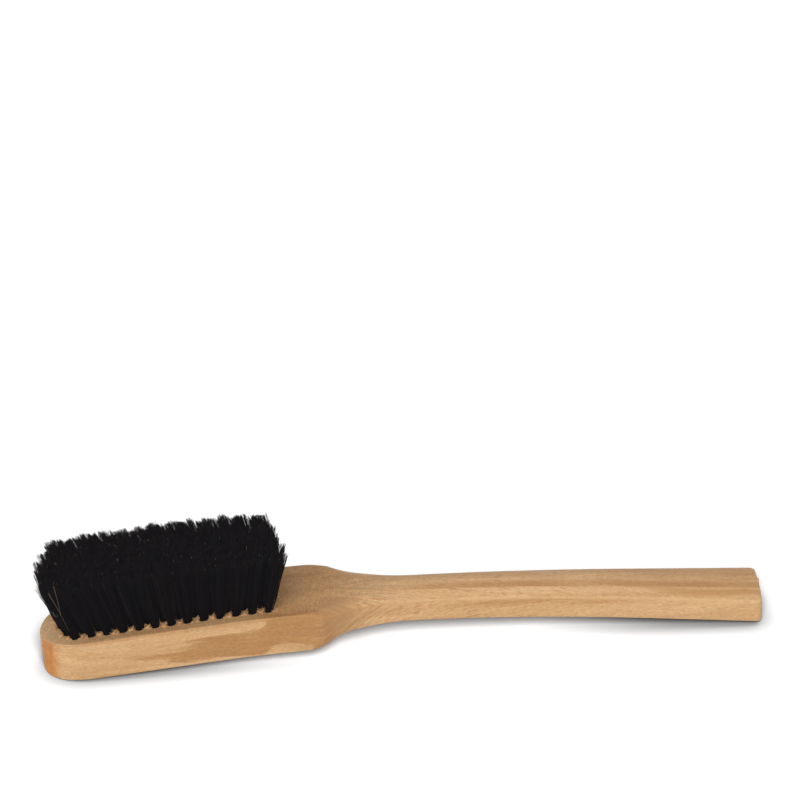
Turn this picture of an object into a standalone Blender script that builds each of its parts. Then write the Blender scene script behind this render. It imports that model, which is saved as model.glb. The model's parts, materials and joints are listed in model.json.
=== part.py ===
"""Clothes brush: a one-piece beech head and handle, filled with six rows of horsehair tufts.

The brush lies on its back, bristles up, on the front edge of the head and the tip of the handle,
which are both sanded flat there. +X points from the rounded front of the head to the tip of the
handle, +Z is up, and Y = 0 is the wood's plane of symmetry. The origin is on the ground, halfway
along the brush. In the functions below, x is measured from the front of the head, and every
object is moved back by half the length.
"""

import math
import random

import bmesh
import bpy
from mathutils import Vector

# Driving dimensions, in metres.
LENGTH = 0.3596
HEAD_LENGTH = 0.146
HEAD_WIDTH = 0.0514
HEAD_THICKNESS = 0.0206
FRONT_DEPTH = 0.029
FRONT_FULLNESS = 2.15
NECK_WIDTH = 0.0260
NECK_END = 0.190
GRIP_WIDTH = 0.0344
GRIP_THICKNESS = 0.0176
GRIP_FLARE_POWER = 1.73
END_BULGE = 0.0003
END_CORNER = 0.0030

# Side profile of the bristle face: straight head, bend to the crest, droop, straight grip.
FRONT_HEIGHT = 0.0201
HEAD_SLOPE = 0.082
BEND_START = 0.095
CREST = 0.148
DROOP_END = 0.300
GRIP_SLOPE = -0.095

# Edges: the head is only eased, and the neck and grip are rounded over from both faces. Each pair
# is where a change starts and where it is complete, along the length. The round-over has a middle
# layer, at these shares of its inset and of its drop.
EASING = 0.0006
ROUND_OVER = 0.0033
FRONT_ROUND_OVER_AT_SHOULDER = 0.0039
BACK_ROUND_OVER_AT_SHOULDER = 0.0059
ROUND_OVER_BULGE = 0.0005
MIDDLE_INSET = 0.45
MIDDLE_DROP = 0.5
GRIP_FLAT = 0.0060
END_FLAT = 0.0100
THINNING = (0.138, 0.168)
FRONT_DROP_RUN = (0.133, 0.149)
FRONT_DROP_RELIEF = (0.150, 0.166)
FRONT_INSET_RUN = (0.131, 0.178)
BACK_DROP_RUN = (0.129, 0.146)
BACK_DROP_RELIEF = (0.149, 0.165)
BACK_INSET_RUN = (0.137, 0.172)
BULGE_RUN = (0.130, 0.170)
END_FLAT_RUN = (0.270, 0.360)

# Number of steps in each stretch of the outline.
FRONT_STEPS = 10
STRAIGHT_STEPS = 5
BENT_STEPS = 12
NECK_STEPS = 11
GRIP_STEPS = 13
CORNER_STEPS = 5
END_STEPS = 6
SLICE_END_STEPS = 6

# Bristles: tufts stand in six rows, and each row shares one slice of its backing. The tips of
# the first and of the last tuft are given for each row, as the trimmed brush has worn unevenly.
ROW_OFFSETS = (-0.0178, -0.0107, -0.0036, 0.0036, 0.0107, 0.0178)
FIRST_TIPS = (0.0140, 0.0110, 0.0078, 0.0060, 0.0068, 0.0075)
LAST_TIPS = (0.1294, 0.1273, 0.1252, 0.1226, 0.1180, 0.1135)
FIRST_TUFT = {0.0036: 0.0100, 0.0107: 0.0146, 0.0178: 0.0216}
LAST_TUFT = {0.0036: 0.1156, 0.0107: 0.1192, 0.0178: 0.1192}
TUFT_PITCH = 0.0081
STRANDS_PER_TUFT = 5
STRAND_SIDES = 3
STRAND_ROOT_RADIUS = 0.00075
STRAND_TIP_RADIUS = 0.00120
TUFT_ROOT_RADIUS = 0.00155
TUFT_TIP_RADIUS = 0.0031
TRIM_HEIGHT = 0.0318
TRIM_SCATTER = 0.0012
TIP_SPREAD = 1.37
WORN_CORNER_DEPTH = 0.0064
WORN_CORNER_LENGTH = (0.090, 0.128)
WORN_CORNER_WIDTH = (0.002, 0.025)
STRAND_BEND = 0.6
SLICE_WIDTH = 0.0050
SLICE_DEPTH = 0.0025
SLOT_RISE = 0.0030
ROOT_DEPTH = 0.0010
GAP = 0.0003
SEEDS_PER_METRE = 10000
TINY = 0.000001

BEECH = (0.56, 0.33, 0.16, 1.0)
BEECH_ROUGHNESS = 0.55
HORSEHAIR = (0.012, 0.010, 0.011, 1.0)
HORSEHAIR_ROUGHNESS = 0.45
SHARP_ANGLE = math.radians(35.0)


def smooth_step(run, x):
    """0 before the run, 1 after it, with an even curve between them."""
    start, end = run
    t = min(max((x - start) / (end - start), 0.0), 1.0)
    return t * t * (3.0 - 2.0 * t)


def blend(a, b, t):
    return a + (b - a) * t


def top_height(x):
    """Height of the bristle face above the ground."""
    head_run = min(x, BEND_START)
    z = FRONT_HEIGHT + HEAD_SLOPE * head_run
    bend = min(max(x - BEND_START, 0.0), CREST - BEND_START)
    z += HEAD_SLOPE * bend * (1.0 - 0.5 * bend / (CREST - BEND_START))
    droop = min(max(x - CREST, 0.0), DROOP_END - CREST)
    z += 0.5 * GRIP_SLOPE * droop * droop / (DROOP_END - CREST)
    return z + GRIP_SLOPE * max(x - DROOP_END, 0.0)


def thickness(x):
    return blend(HEAD_THICKNESS, GRIP_THICKNESS, smooth_step(THINNING, x))


def neck_half_width(x):
    """A parabola from the shoulder down to the neck."""
    t = min((x - HEAD_LENGTH) / (NECK_END - HEAD_LENGTH), 1.0)
    return blend(HEAD_WIDTH / 2, NECK_WIDTH / 2, 1.0 - (1.0 - t) ** 2)


def grip_half_width(x):
    """The grip widens slowly from the neck to its end."""
    t = max(x - NECK_END, 0.0) / (LENGTH - NECK_END)
    return blend(NECK_WIDTH / 2, GRIP_WIDTH / 2, t**GRIP_FLARE_POWER)


def half_width(x):
    """Half width of the wood, past the rounded front of the head."""
    if x > NECK_END:
        return grip_half_width(x)
    return neck_half_width(x) if x > HEAD_LENGTH else HEAD_WIDTH / 2


def spaced(start, end, count):
    """Count values after start, the last of them at end."""
    return [blend(start, end, (i + 1) / count) for i in range(count)]


def end_outline():
    """The corner and the slightly bulging end of the grip, as far as the tip."""
    half = grip_half_width(LENGTH - END_CORNER)
    square_end = LENGTH - END_BULGE
    points = []
    for angle in spaced(0.0, math.pi / 2, CORNER_STEPS):
        x = square_end - END_CORNER * (1.0 - math.sin(angle))
        points.append((x, half - END_CORNER * (1.0 - math.cos(angle))))
    corner_y = half - END_CORNER
    for y in spaced(corner_y, 0.0, END_STEPS):
        points.append((square_end + END_BULGE * (1.0 - (y / corner_y) ** 2), y))
    return points


def half_outline():
    """Plan points from the front of the head, along +Y, to the tip of the handle."""
    points = []
    for angle in [0.0] + spaced(0.0, math.pi / 2, FRONT_STEPS):
        x = FRONT_DEPTH * (1.0 - math.cos(angle) ** (2.0 / FRONT_FULLNESS))
        points.append((x, HEAD_WIDTH / 2 * math.sin(angle) ** (2.0 / FRONT_FULLNESS)))
    for x in spaced(FRONT_DEPTH, BEND_START, STRAIGHT_STEPS):
        points.append((x, HEAD_WIDTH / 2))
    for x in spaced(BEND_START, HEAD_LENGTH, BENT_STEPS):
        points.append((x, HEAD_WIDTH / 2))
    for x in spaced(HEAD_LENGTH, NECK_END, NECK_STEPS):
        points.append((x, neck_half_width(x)))
    corner_start = LENGTH - END_BULGE - END_CORNER
    for x in spaced(NECK_END, corner_start - END_CORNER, GRIP_STEPS) + [corner_start]:
        points.append((x, grip_half_width(x)))
    return points + end_outline()


def outline_normals(points):
    """Outward plan normal at each point of the half outline."""
    mirrored = [(points[1][0], -points[1][1])] + points + [(points[-2][0], -points[-2][1])]
    normals = []
    for before, after in zip(mirrored, mirrored[2:]):
        along = Vector((after[0] - before[0], after[1] - before[1])).normalized()
        normals.append(Vector((-along.y, along.x)))
    return normals


def flat_half_width(x):
    """Half width of the flat strip that the round-over leaves along the middle of the grip."""
    return blend(GRIP_FLAT, END_FLAT, smooth_step(END_FLAT_RUN, x)) / 2


def front_round_over(x, half):
    """How far the round-over reaches down and in from the bristle face."""
    drop = blend(EASING, FRONT_ROUND_OVER_AT_SHOULDER, smooth_step(FRONT_DROP_RUN, x))
    drop = blend(drop, ROUND_OVER, smooth_step(FRONT_DROP_RELIEF, x))
    inset = blend(EASING, half - flat_half_width(x), smooth_step(FRONT_INSET_RUN, x))
    return drop, inset


def back_round_over(x, half):
    """How far the round-over reaches up and in from the back."""
    drop = blend(EASING, BACK_ROUND_OVER_AT_SHOULDER, smooth_step(BACK_DROP_RUN, x))
    drop = blend(drop, ROUND_OVER, smooth_step(BACK_DROP_RELIEF, x))
    inset = blend(EASING, half - flat_half_width(x), smooth_step(BACK_INSET_RUN, x))
    return drop, inset


def layers_at(x, half):
    """Pairs of inset and height for the layers of the wood, from the back to the bristle face."""
    top = top_height(x)
    back = max(top - thickness(x), 0.0)
    front_drop, front_inset = front_round_over(x, half)
    back_drop, back_inset = back_round_over(x, half)
    bulge = ROUND_OVER_BULGE * smooth_step(BULGE_RUN, x)
    return (
        (back_inset, back),
        (back_inset * MIDDLE_INSET, back + back_drop * MIDDLE_DROP - bulge),
        (0.0, back + back_drop),
        (0.0, top - front_drop),
        (front_inset * MIDDLE_INSET, top - front_drop * MIDDLE_DROP + bulge),
        (front_inset, top),
    )


def layer_point(point, normal, layer, side):
    """One vertex: eased along the plan normal, and drawn in towards the middle where rounded over."""
    inset, z = layer
    x, y = point
    eased = min(inset, EASING)
    x -= normal.x * eased
    y -= normal.y * eased
    width = max(point[1], EASING)
    drawn_in = (inset - eased) / width if x > FRONT_INSET_RUN[0] else 0.0
    return Vector((x, side * y * max(1.0 - drawn_in, 0.0), z))


def wood_rings():
    """Closed rings of vertices, one for each layer, from the back to the bristle face."""
    points = half_outline()
    normals = outline_normals(points)
    rings = [[] for _ in layers_at(0.0, HEAD_WIDTH / 2)]
    for side in (1, -1):
        indices = range(len(points)) if side == 1 else range(len(points) - 2, 0, -1)
        for i in indices:
            x, y = points[i]
            half = half_width(x)
            scale = y / half if x > HEAD_LENGTH else 1.0
            for ring, (inset, z) in zip(rings, layers_at(x, half)):
                ring.append(layer_point((x, y), normals[i], (inset * scale, z), side))
    return rings


def bridge(mesh, lower, upper):
    """Faces between two closed rings that run the same way round."""
    for i in range(len(lower)):
        j = (i + 1) % len(lower)
        mesh.faces.new((lower[i], lower[j], upper[j], upper[i]))


def cap(mesh, ring, upward):
    """Fills a ring with strips that run straight across the brush."""
    count = len(ring)
    for i in range(count // 2):
        strip = [ring[i], ring[i + 1], ring[(count - i - 1) % count], ring[(count - i) % count]]
        strip = list(dict.fromkeys(strip))
        mesh.faces.new(strip if upward else reversed(strip))


def mesh_object(name, mesh, material):
    """Turns the bmesh into a smooth-shaded object of one material."""
    bmesh.ops.recalc_face_normals(mesh, faces=mesh.faces)
    data = bpy.data.meshes.new(name)
    mesh.to_mesh(data)
    mesh.free()
    if material:
        data.materials.append(material)
        data.shade_smooth()
        data.set_sharp_from_angle(angle=SHARP_ANGLE)
    obj = bpy.data.objects.new(name, data)
    obj.location.x = -LENGTH / 2
    bpy.context.scene.collection.objects.link(obj)
    return obj


def principled(name, colour, roughness):
    material = bpy.data.materials.new(name)
    material.use_nodes = True
    shader = material.node_tree.nodes["Principled BSDF"]
    shader.inputs["Base Color"].default_value = colour
    shader.inputs["Roughness"].default_value = roughness
    shader.inputs["Metallic"].default_value = 0.0
    return material


def add_boolean(obj, other, operation):
    """Combines obj with a helper object that isn't part of the brush."""
    modifier = obj.modifiers.new(operation.title(), "BOOLEAN")
    modifier.operation = operation
    modifier.solver = "EXACT"
    modifier.object = other
    other.hide_render = True
    other.display_type = "WIRE"


def row_tufts(offset):
    """Centres, along X, of the tufts in the row at this offset from the middle."""
    first = FIRST_TUFT[abs(offset)]
    last = LAST_TUFT[abs(offset)]
    count = round((last - first) / TUFT_PITCH)
    return [blend(first, last, i / count) for i in range(count + 1)]


def slice_mesh(offset, grow, rise):
    """A slice of backing under one row: round-ended in plan, following the bristle face.

    Grown by a clearance and raised above the face, it is the slot that holds the slice.
    """
    tufts = row_tufts(offset)
    radius = SLICE_WIDTH / 2 + grow
    outline = []
    for centre, start, side in ((tufts[-1], -0.5, 1), (tufts[0], 0.5, -1)):
        for turn in [0.0] + spaced(0.0, math.pi, SLICE_END_STEPS):
            angle = math.pi * start + turn
            outline.append((centre + radius * math.cos(angle), offset + radius * math.sin(angle)))
        outline.append((BEND_START, offset + side * radius))
    mesh = bmesh.new()
    lower = [mesh.verts.new((x, y, top_height(x) - SLICE_DEPTH - grow)) for x, y in outline]
    upper = [mesh.verts.new((x, y, top_height(x) + rise)) for x, y in outline]
    bridge(mesh, lower, upper)
    for ring, upward in ((lower, False), (upper, True)):
        fill_slice(mesh, ring, upward)
    return mesh


def fill_slice(mesh, ring, upward):
    """Fills a round-ended ring: one face each for the straight part and for the bent part."""
    straight = [v for v in ring if v.co.x <= BEND_START + TINY]
    bent = [v for v in ring if v.co.x >= BEND_START - TINY]
    for part in (straight, bent):
        middle = sum((v.co for v in part), Vector()) / len(part)
        part.sort(key=lambda v: math.atan2(v.co.y - middle.y, v.co.x - middle.x))
        mesh.faces.new(part if upward else list(reversed(part)))


def trimmed_height(x, y):
    """Height of the trimmed bristle tips, lower where one corner has worn down."""
    worn = smooth_step(WORN_CORNER_LENGTH, x) * smooth_step(WORN_CORNER_WIDTH, y)
    return FRONT_HEIGHT + HEAD_SLOPE * x + TRIM_HEIGHT - WORN_CORNER_DEPTH * worn


def strand_path(tuft_x, tip_x, offset, angle, scatter):
    """Root, middle and tip of one strand. All strands spread by one rule, so that none cross."""
    tip_y = offset * TIP_SPREAD
    tip_z = trimmed_height(tip_x, tip_y) + scatter
    root_z = top_height(tuft_x) - ROOT_DEPTH
    path = []
    for t in (0.0, 0.5, 1.0):
        eased = blend(t, t * t, STRAND_BEND)
        radius = blend(TUFT_ROOT_RADIUS, TUFT_TIP_RADIUS, eased)
        x = blend(tuft_x, tip_x, eased) + radius * math.cos(angle)
        y = blend(offset, tip_y, eased) + radius * math.sin(angle)
        path.append(Vector((x, y, blend(root_z, tip_z, t))))
    return path


def add_strand(mesh, path, turn):
    """A tapered strand with flat sides along the path."""
    rings = []
    for i, centre in enumerate(path):
        radius = blend(STRAND_ROOT_RADIUS, STRAND_TIP_RADIUS, i / (len(path) - 1))
        ring = []
        for side in range(STRAND_SIDES):
            angle = turn + 2.0 * math.pi * side / STRAND_SIDES
            ring.append(mesh.verts.new(centre + radius * Vector((math.cos(angle), math.sin(angle), 0.0))))
        rings.append(ring)
    for lower, upper in zip(rings, rings[1:]):
        bridge(mesh, lower, upper)
    mesh.faces.new(list(reversed(rings[0])))
    mesh.faces.new(rings[-1])


def build_row(number, offset, material):
    """One row of tufts, standing on its slice of backing. Rows opposite each other are mirrored."""
    rng = random.Random(round(abs(offset) * SEEDS_PER_METRE))
    side = math.copysign(1.0, offset)
    strands = bmesh.new()
    tufts = row_tufts(offset)
    for i, tuft_x in enumerate(tufts):
        tip_x = blend(FIRST_TIPS[number - 1], LAST_TIPS[number - 1], i / (len(tufts) - 1))
        turn = rng.uniform(0.0, 2.0 * math.pi)
        for strand in range(STRANDS_PER_TUFT):
            angle = side * (turn + 2.0 * math.pi * strand / STRANDS_PER_TUFT)
            scatter = rng.uniform(-TRIM_SCATTER, TRIM_SCATTER)
            add_strand(strands, strand_path(tuft_x, tip_x, offset, angle, scatter), angle)
    helper = mesh_object(f"strands_{number}", strands, None)
    row = mesh_object(f"bristle_row_{number}", slice_mesh(offset, 0.0, 0.0), material)
    add_boolean(row, helper, "UNION")
    return row


def build_wood(material):
    """The head and handle, with a slot for each row of tufts."""
    mesh = bmesh.new()
    rings = [[mesh.verts.new(p) for p in ring] for ring in wood_rings()]
    for lower, upper in zip(rings, rings[1:]):
        bridge(mesh, lower, upper)
    cap(mesh, rings[0], upward=False)
    cap(mesh, rings[-1], upward=True)
    wood = mesh_object("head_and_handle", mesh, material)
    for number, offset in enumerate(ROW_OFFSETS, 1):
        slot = mesh_object(f"slot_{number}", slice_mesh(offset, GAP, SLOT_RISE), None)
        add_boolean(wood, slot, "DIFFERENCE")
    return wood


def clear_scene():
    for obj in list(bpy.data.objects):
        bpy.data.objects.remove(obj, do_unlink=True)


def main():
    clear_scene()
    build_wood(principled("beech", BEECH, BEECH_ROUGHNESS))
    horsehair = principled("horsehair", HORSEHAIR, HORSEHAIR_ROUGHNESS)
    for number, offset in enumerate(ROW_OFFSETS, 1):
        build_row(number, offset, horsehair)


main()
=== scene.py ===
"""Horsehair clothes brush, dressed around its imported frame.

The frame gives the solids. This script adds the sanded beech with its drilled holes, the dense
tufts of horsehair, the torn fibres round the holes, the stray hairs, and a plain stage.
"""

import json
import math

import bmesh
import bpy
import numpy as np
from bpy.props import FloatProperty, FloatVectorProperty, IntProperty, PointerProperty
from mathutils import Matrix, Vector

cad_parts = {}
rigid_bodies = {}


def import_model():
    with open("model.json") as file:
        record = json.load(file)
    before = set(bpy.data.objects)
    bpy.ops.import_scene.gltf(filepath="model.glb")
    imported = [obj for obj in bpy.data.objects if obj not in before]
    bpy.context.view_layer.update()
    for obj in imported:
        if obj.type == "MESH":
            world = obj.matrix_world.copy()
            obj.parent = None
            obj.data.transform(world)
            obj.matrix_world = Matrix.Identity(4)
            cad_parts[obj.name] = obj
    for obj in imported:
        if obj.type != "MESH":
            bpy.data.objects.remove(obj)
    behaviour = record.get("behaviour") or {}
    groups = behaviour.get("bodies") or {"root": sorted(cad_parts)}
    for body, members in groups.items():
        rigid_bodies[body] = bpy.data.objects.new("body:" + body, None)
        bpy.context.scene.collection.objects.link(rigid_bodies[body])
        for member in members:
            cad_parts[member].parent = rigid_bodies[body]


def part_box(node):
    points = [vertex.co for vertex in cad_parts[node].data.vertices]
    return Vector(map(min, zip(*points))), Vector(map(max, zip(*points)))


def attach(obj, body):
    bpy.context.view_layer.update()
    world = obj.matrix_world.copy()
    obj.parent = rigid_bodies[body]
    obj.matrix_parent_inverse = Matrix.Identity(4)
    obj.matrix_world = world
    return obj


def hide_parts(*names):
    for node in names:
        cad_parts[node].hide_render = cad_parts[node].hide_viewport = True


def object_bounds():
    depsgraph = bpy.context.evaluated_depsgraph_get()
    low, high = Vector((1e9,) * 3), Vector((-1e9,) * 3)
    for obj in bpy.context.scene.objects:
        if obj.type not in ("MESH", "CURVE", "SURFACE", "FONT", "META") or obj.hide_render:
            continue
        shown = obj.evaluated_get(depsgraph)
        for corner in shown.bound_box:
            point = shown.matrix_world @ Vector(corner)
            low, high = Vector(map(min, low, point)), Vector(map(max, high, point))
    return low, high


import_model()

bl_info = {
    "name": "Horsehair Clothes Brush",
    "version": (1, 0, 0),
    "blender": (4, 5, 0),
    "location": "View3D > Sidebar > Clothes Brush",
    "description": "Beech head and handle, tufts of horsehair, stray hairs and a plain stage",
    "category": "Object",
}

CAD_LOW, CAD_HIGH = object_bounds()
WOOD_LOW, WOOD_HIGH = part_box("head_and_handle")

# Lengthwise places are in metres from the front of the head, which lies at this X of the frame.
FRONT_X = WOOD_LOW.x
LENGTH = WOOD_HIGH.x - WOOD_LOW.x
WOOD_HALF = WOOD_HIGH.y
HEAD_LENGTH = 0.146
NECK_END = 0.190
SHOULDER_EASING = 0.0010
GRIP_FLARE_POWER = 1.73

# Rounded front of the head: its depth, how square it is in plan, how far it slants out for each
# metre down, and the number of steps round it.
FRONT_DEPTH = 0.029
FRONT_FULLNESS = 2.15
FRONT_SLANT = 0.08
FRONT_STEPS = 32

# End of the handle: bulge and corner in plan, how far the lower edge is drawn back, the share of
# the easing that its edges keep, and where that rounding starts and is complete.
END_BULGE = 0.0003
END_CORNER = 0.0030
END_TUCK = 0.0012
END_EASING_SHARE = 0.3
END_ROUNDING_RUN = (LENGTH - 0.016, LENGTH - 0.004)

# Side profile of the bristle face: straight head, bend to the crest, droop, straight grip.
FRONT_HEIGHT = 0.0201
HEAD_SLOPE = 0.082
BEND_START = 0.095
CREST = 0.148
DROOP_END = 0.300
GRIP_SLOPE = -0.095

# Cross-section: how deep the edges are rounded at the shoulder, how full the crown of the handle
# is, how wide the flat along it, and where each of these starts and stops changing.
FRONT_ROUND_OVER_AT_SHOULDER = 0.0039
BACK_ROUND_OVER_AT_SHOULDER = 0.0059
CROWN_BULGE = 0.0005
CROWN_FULLNESS = 0.2
GRIP_FLAT = 0.0060
END_FLAT = 0.0100
THINNING = (0.138, 0.168)
FRONT_DROP_RUN = (0.133, 0.149)
FRONT_DROP_RELIEF = (0.150, 0.166)
FRONT_INSET_RUN = (0.131, 0.178)
BACK_DROP_RUN = (0.129, 0.146)
BACK_DROP_RELIEF = (0.149, 0.165)
BACK_INSET_RUN = (0.137, 0.172)
CROWN_RUN = (0.130, 0.170)
END_FLAT_RUN = (0.270, 0.360)
CROWN_STEPS = (0.0, 0.2, 0.4, 0.6, 0.8)
RIDGE_SHARE = 0.15
SMOOTH_ANGLE = math.radians(28.0)

# The plain tube that becomes the wood: one ring for each line of the cross-section.
RING_COUNT = 2 * (len(CROWN_STEPS) + 3) + 1
RING_STEP = 0.01
TUBE_RADIUS = 0.05

# Figure of the wood: heart of the year rings (Y, and depth below the upper edge of the side), how
# far it comes up and where, the width, tilt and unevenness of the rings, and where the dark wood
# first shows on the side.
RING_HEART = (0.037, 0.0115)
HEART_LIFT = 0.005
FIGURE_RISE = (0.112, 0.126)
RING_WIDTH = 0.019
RING_TILT = 0.009
RING_WARP = 0.0012
FIGURE_START = 0.053

# Slant of the grain on the handle: where it sets in, its least, what the shoulder adds to it, and
# how soon that fades.
SLANT_RUN = (0.136, 0.150)
GRAIN_SLANT = 0.12
SHOULDER_SLANT = 0.60
SLANT_FADE = 0.030

# Rows of drilled holes, counted from the camera's side: offset of the holes and of the tips from
# the middle, first and last hole, and where the first and last tuft have been trimmed to.
ROW_OFFSETS = (-0.0178, -0.0126, -0.0042, 0.0042, 0.0126, 0.0178)
TIP_OFFSETS = (-0.0244, -0.0147, -0.0049, 0.0049, 0.0147, 0.0244)
FIRST_TUFTS = (0.0216, 0.0165, 0.0118, 0.0094, 0.0165, 0.0216)
LAST_TUFTS = (0.1192, 0.1151, 0.1192, 0.1151, 0.1151, 0.1192)
FIRST_TIPS = (0.0148, 0.0118, 0.0086, 0.0068, 0.0076, 0.0083)
LAST_TIPS = (0.1286, 0.1262, 0.1232, 0.1206, 0.1165, 0.1127)
TUFT_PITCH = 0.00813
TUFT_LEAN = 0.045
HOLE_DEPTH = 0.006
HOLE_SIDES = 24

# The worn corner of the bristles, how unevenly the tufts stand, and how far each tuft of the far
# row stands above the trimmed height, in millimetres.
WORN_CORNER_DEPTH = 0.0064
WORN_CORNER_LENGTH = (0.090, 0.128)
WORN_CORNER_WIDTH = (0.002, 0.025)
TUFT_SCATTER = 0.0003
MILLIMETRE = 0.001
FAR_ROW_RISE = (0.8, 0.6, 2.1, 1.2, 0.8, -0.1, 1.1, 1.8, 1.4, -0.2, -0.1, 1.4, 1.4)

# Points along a hair, and how far a tuft has spread at each of them, as shares of the whole.
HAIR_STATIONS = (0.0, 0.045, 0.09, 0.25, 0.6, 1.0)
TUFT_SPREAD = (0.0, 0.02, 0.08, 0.50, 0.80, 1.0)
LATE_LEAN = 0.35

# Locks of a tuft: the angle from one to the next, how unevenly they stand, how much higher or
# lower they end, how much lower the outer ones are, and how wide each one is at its tip.
GOLDEN_ANGLE = math.pi * (3.0 - math.sqrt(5.0))
LOCK_SCATTER = 0.08
LOCK_RISE = 0.0005
LOCK_DOME = 0.0004
LOCK_RADIUS = 0.0015
ROOT_SHARES = (0.74, 0.30)
TIP_SHARE = 0.84

# Single hairs: scatter of the tips, bow, how much shorter the shortest are and how rare those are,
# how deep they start in the hole, which are loose and how far past the tuft they reach, how far a
# hair is turned for its shade, and the thinnest and thickest hair and the taper from root to tip,
# as shares of the hair radius.
TIP_SCATTER = 0.00035
HAIR_BOW = 0.00025
SHORTEST_HAIR = 0.0025
SHORT_HAIR_RARITY = 6
ROOT_DEPTH = 0.0015
LOOSE_ABOVE = 0.97
LOOSE_REACH = 1.12
HAIR_TWIST = 40.0
HAIR_THICKNESS = (0.8, 1.25)
HAIR_TAPER = (1.0, 0.75)
FIRST_HAIR_SEED = 100

# How far hair may stand out past the CAD model's box, as a share of the box.
HAIR_MARGIN = 0.015

# Faint light that the dense hair scatters back, as the hair's own glow.
SCATTERED_LIGHT = 0.0055

# Loose hairs in metres from the front of the head: start, bend and end of a wisp, how far its
# hairs fan out, how many there are, and which share of them is pale.
STRAY_WISPS = (
    ((0.0199, -0.0205, 0.0256), (0.0183, -0.0265, 0.0442), (0.0158, -0.0285, 0.0537), 0.0002, 4, 1.0),
    ((0.0150, -0.0140, 0.0230), (0.0118, -0.0215, 0.0455), (0.0097, -0.0250, 0.0561), 0.0008, 14, 0.2),
    ((0.0187, -0.0260, 0.0393), (0.0194, -0.0280, 0.0472), (0.0192, -0.0295, 0.0579), 0.0003, 3, 0.7),
    ((0.0152, -0.0260, 0.0419), (0.0158, -0.0270, 0.0387), (0.0177, -0.0270, 0.0405), 0.0002, 2, 1.0),
    ((0.1216, -0.0200, 0.0318), (0.1255, -0.0200, 0.0422), (0.1321, -0.0240, 0.0622), 0.0004, 6, 0.5),
    ((0.1272, -0.0220, 0.0482), (0.1304, -0.0240, 0.0568), (0.1331, -0.0260, 0.0648), 0.0009, 14, 0.1),
)

# How far the start, the bend and the end of a loose hair fan out, its thickness and taper, and the
# shades of the dark ones.
STRAY_FAN = (0.3, 0.6, 1.0)
STRAY_THICKNESS = 0.75
STRAY_TAPER = (1.0, 0.7)
DARK_SHADES = (0.3, 0.95)
STRAY_SEED = 7

# Torn fibres at each hole, towards the front and towards the end: their side, how many there are
# and how tall the tallest is.
SPLINTERS = ((-1.0, 7, 0.0030), (1.0, 5, 0.0016))
SPLINTER_TAPER = (0.9, 1.0, 1.0, 0.9, 0.6, 0.05)
SPLINTER_FLATNESS = 0.4

# One torn fibre: angle round the rim, distance from the rim, height as a share of the tallest,
# length and width, how deep it is rooted and how far its tip strays, and its bend, as shares of
# its length and height.
SPLINTER_TURN = (-1.1, 0.9)
SPLINTER_REACH = (0.0001, 0.0006)
SPLINTER_RISE = (0.3, 1.0)
SPLINTER_LENGTH = (0.0010, 0.0030)
SPLINTER_WIDTH = (0.0003, 0.0008)
SPLINTER_DEPTH = 0.0003
SPLINTER_SCATTER = 0.0002
SPLINTER_BEND = (0.3, 0.25)
SPLINTER_SEED = 11

# The photograph's viewpoint, as angles in degrees round the brush's middle, and the shift of the
# lens that places the brush in the picture.
VIEW_TURN = -5.30
VIEW_RISE = 30.0
VIEW_ROLL = 6.76
VIEW_TARGET = Vector((FRONT_X + 0.180, 0.0, 0.0121))
LENS_SHIFT = (0.0041, 0.267)
SENSOR_WIDTH = 36.0
NEAREST_SEEN = 0.05

# The broad light in front: where it stands from the brush, how far away, and its size.
FRONT_LIGHT_DIRECTION = (-0.05, -1.0, 0.68)
FRONT_LIGHT_DISTANCE = 2.0
FRONT_LIGHT_SIZE = (2.4, 1.4)

# The floor as the camera sees it is lit by its own lamp and by a little glow, and both are
# darkened close to the wood. The tone is how much of any light it gives back. Between the two
# distances in the last line the glow grows, until the floor is white without its lamp.
FLOOR_SIZE = 6.0
FLOOR_TONE = 0.18
FLOOR_TONE_LIMIT = 0.9
FLOOR_GLOW = 0.06
LAMP_SHARE = 0.89
CONTACT_SHADE = {"From Min": 0.22, "From Max": 0.97, "To Min": 0.30}
WHITE_FLOOR_RUN = (0.5, 0.9)


# Settings


def length(name, default, description, **options):
    return FloatProperty(
        name=name, default=default, description=description, unit="LENGTH", **options
    )


def colour(name, default, description):
    return FloatVectorProperty(
        name=name, default=default, description=description, subtype="COLOR", min=0.0, max=1.0
    )


class ClothesBrushWood(bpy.types.PropertyGroup):
    """Sizes and colours of the beech head and handle."""

    head_width: length("Head Width", 0.0514, "Width of the head")
    head_thickness: length("Head Thickness", 0.0206, "From the bristle face to the back")
    neck_width: length("Neck Width", 0.0260, "Narrowest width of the handle")
    grip_width: length("Grip Width", 0.0344, "Width of the handle near its end")
    grip_thickness: length("Grip Thickness", 0.0176, "From the crown of the grip to its back")
    easing: length("Eased Edge", 0.0006, "Sanded rounding along the edges of the head")
    round_over: length("Round-Over", 0.0033, "Depth of the crown on each face of the handle")
    hole_radius: length("Hole Radius", 0.0023, "Radius of the drilled holes")
    beech: colour("Beech", (0.650, 0.382, 0.178), "Main colour of the sanded wood")
    heartwood: colour("Heartwood", (0.490, 0.250, 0.096), "Darker flame figure")
    sapwood: colour("Sapwood", (0.740, 0.470, 0.240), "Palest bands")
    fleck: colour("Fleck", (0.460, 0.205, 0.078), "Short rays along the grain")


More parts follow.
